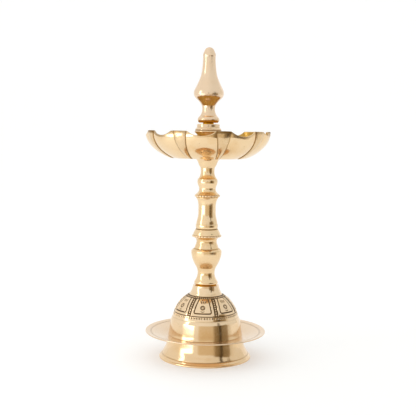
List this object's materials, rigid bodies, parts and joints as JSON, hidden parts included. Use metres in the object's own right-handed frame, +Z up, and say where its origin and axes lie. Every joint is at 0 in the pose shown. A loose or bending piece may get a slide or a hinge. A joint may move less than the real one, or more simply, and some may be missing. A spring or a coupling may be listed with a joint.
{
  "type": "standing oil lamp",
  "caption": "Turned brass standing oil lamp: hollow foot, drip plate, engraved bell, beaded stem, lobed dish with dipped wick rests, stepped hub and tall finial that unscrew.",
  "frame": {"origin": "centre of the foot's bottom face, on the floor", "axes": "+Z up along the lamp's axis; -Y is the side seen in the picture; +X is the viewer's right"},
  "size_m": [0.1222, 0.1221, 0.305],
  "materials": {
    "turned_brass": "polished",
    "engraved_brass": "polished, with dark patina in the engraved lines",
    "cast_brass": "polished casting",
    "stud_brass": "threaded, unpolished",
    "washer_brass": "dull"
  },
  "bodies": {
    "base": {"foot_ring": "turned_brass", "drip_plate": "turned_brass", "bell_dome": "engraved_brass"},
    "stem_turner": {"stem_washer": "washer_brass"},
    "stem": {"stem_stud": "stud_brass", "stem_lower": "turned_brass", "lower_bead_ring": "turned_brass", "stem_column": "turned_brass", "upper_bead_ring": "turned_brass", "stem_upper": "turned_brass"},
    "dish_turner": {"dish_washer": "washer_brass"},
    "dish_unit": {"dish_stud": "stud_brass", "dish": "cast_brass", "dish_hub": "turned_brass"},
    "finial_turner": {"finial_washer": "washer_brass"},
    "finial_unit": {"finial_stud": "stud_brass", "finial": "turned_brass"}
  },
  "joints": [
    {"name": "stem_turn", "type": "hinge", "parent": "base", "child": "stem_turner", "pos_m": [0, 0, 0.0725], "axis": [0, 0, 1], "range_deg": [0, 2520]},
    {"name": "stem_rise", "type": "slide", "parent": "stem_turner", "child": "stem", "axis": [0, 0, 1], "range_m": [0, 0.014]},
    {"name": "dish_turn", "type": "hinge", "parent": "stem", "child": "dish_turner", "pos_m": [0, 0, 0.1973], "axis": [0, 0, 1], "range_deg": [0, 2880]},
    {"name": "dish_rise", "type": "slide", "parent": "dish_turner", "child": "dish_unit", "axis": [0, 0, 1], "range_m": [0, 0.012]},
    {"name": "finial_turn", "type": "hinge", "parent": "dish_unit", "child": "finial_turner", "pos_m": [0, 0, 0.2313], "axis": [0, 0, 1], "range_deg": [0, 2880]},
    {"name": "finial_rise", "type": "slide", "parent": "finial_turner", "child": "finial_unit", "axis": [0, 0, 1], "range_m": [0, 0.012]}
  ],
  "couplings": [
    {"joint": "stem_turn", "follows": "stem_rise", "rad_per_m": 3141.6},
    {"joint": "dish_turn", "follows": "dish_rise", "rad_per_m": 4188.8},
    {"joint": "finial_turn", "follows": "finial_rise", "rad_per_m": 4188.8}
  ]
}
